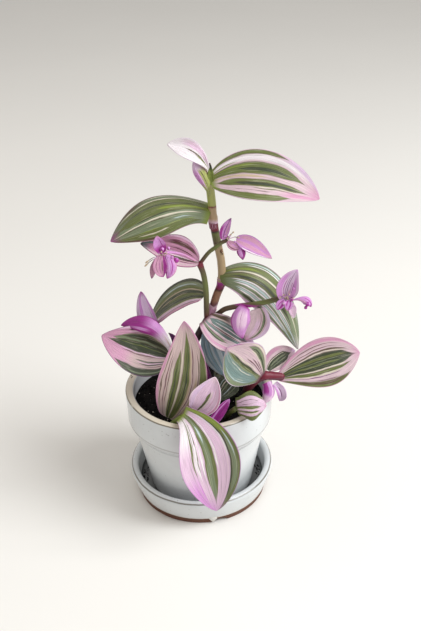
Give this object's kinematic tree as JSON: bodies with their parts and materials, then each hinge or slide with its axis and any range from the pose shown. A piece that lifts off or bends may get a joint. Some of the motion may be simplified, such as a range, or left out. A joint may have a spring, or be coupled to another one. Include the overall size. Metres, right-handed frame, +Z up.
{
  "type": "potted tradescantia",
  "caption": "Small trailing tradescantia with striped pink, cream and green leaves in a white glazed pot standing on its saucer.",
  "frame": {"origin": "middle of the saucer's underside, on the surface it stands on", "axes": "+Z up along the pot's axis; -Y is the front, where the hanging leaf is; +X to the right seen from the front"},
  "size_m": [0.1506, 0.1066, 0.2328],
  "materials": {
    "white_glaze": "glazed clay, cool white, gloss",
    "soil": "moist potting soil, matte",
    "stem": "fleshy stem, satin",
    "striped_leaf": "fleshy leaf, green, cream and pink stripes, satin",
    "magenta_leaf": "thin leaf, magenta to lilac, satin",
    "petal": "thin petal, pink to lilac, satin",
    "flower_center": "cream, matte"
  },
  "bodies": {
    "root": {"pot": "white_glaze", "saucer": "white_glaze", "potting_soil": "soil", "flower_1_stalk": "stem", "front_right_shoot": "stem", "front_shoot": "stem", "inner_shoot": "stem", "left_branch": "stem", "left_flower_stalk": "stem", "left_shoot": "stem", "main_stem": "stem", "right_branch": "stem", "right_shoot": "stem", "back_left_leaf": "striped_leaf", "blue_green_leaf": "striped_leaf", "center_bract": "magenta_leaf", "center_hanging_leaf": "striped_leaf", "center_round_leaf": "striped_leaf", "dark_left_leaf": "magenta_leaf", "front_cupped_leaf": "striped_leaf", "front_hanging_leaf": "striped_leaf", "front_round_leaf": "striped_leaf", "left_branch_leaf": "striped_leaf", "left_large_leaf": "striped_leaf", "magenta_inner_leaf": "magenta_leaf", "magenta_side_leaf": "magenta_leaf", "magenta_strip_leaf": "magenta_leaf", "magenta_upright_leaf": "magenta_leaf", "middle_right_leaf": "striped_leaf", "right_curl_leaf": "magenta_leaf", "right_large_leaf": "striped_leaf", "right_round_leaf": "striped_leaf", "right_small_leaf": "striped_leaf", "right_under_leaf": "magenta_leaf", "shadow_leaf_high": "striped_leaf", "shadow_leaf_low": "striped_leaf", "tall_front_leaf": "striped_leaf", "top_bud_leaf": "striped_leaf", "top_right_leaf": "striped_leaf", "upper_left_leaf": "striped_leaf", "flower_1_bud": "petal", "flower_1_center": "flower_center", "flower_1_lower_petal": "petal", "flower_1_small_petal": "petal", "flower_1_upper_petal": "petal", "flower_2_bud": "petal", "flower_2_center": "flower_center", "flower_2_long_bract": "petal", "flower_2_lower_bract": "petal", "flower_2_upper_bract": "petal", "flower_3_center": "flower_center", "flower_3_left_petal": "petal", "flower_3_right_petal": "petal", "flower_3_side_bud": "petal", "flower_3_small_bract": "petal", "flower_3_tall_bract": "petal"}
  },
  "joints": []
}
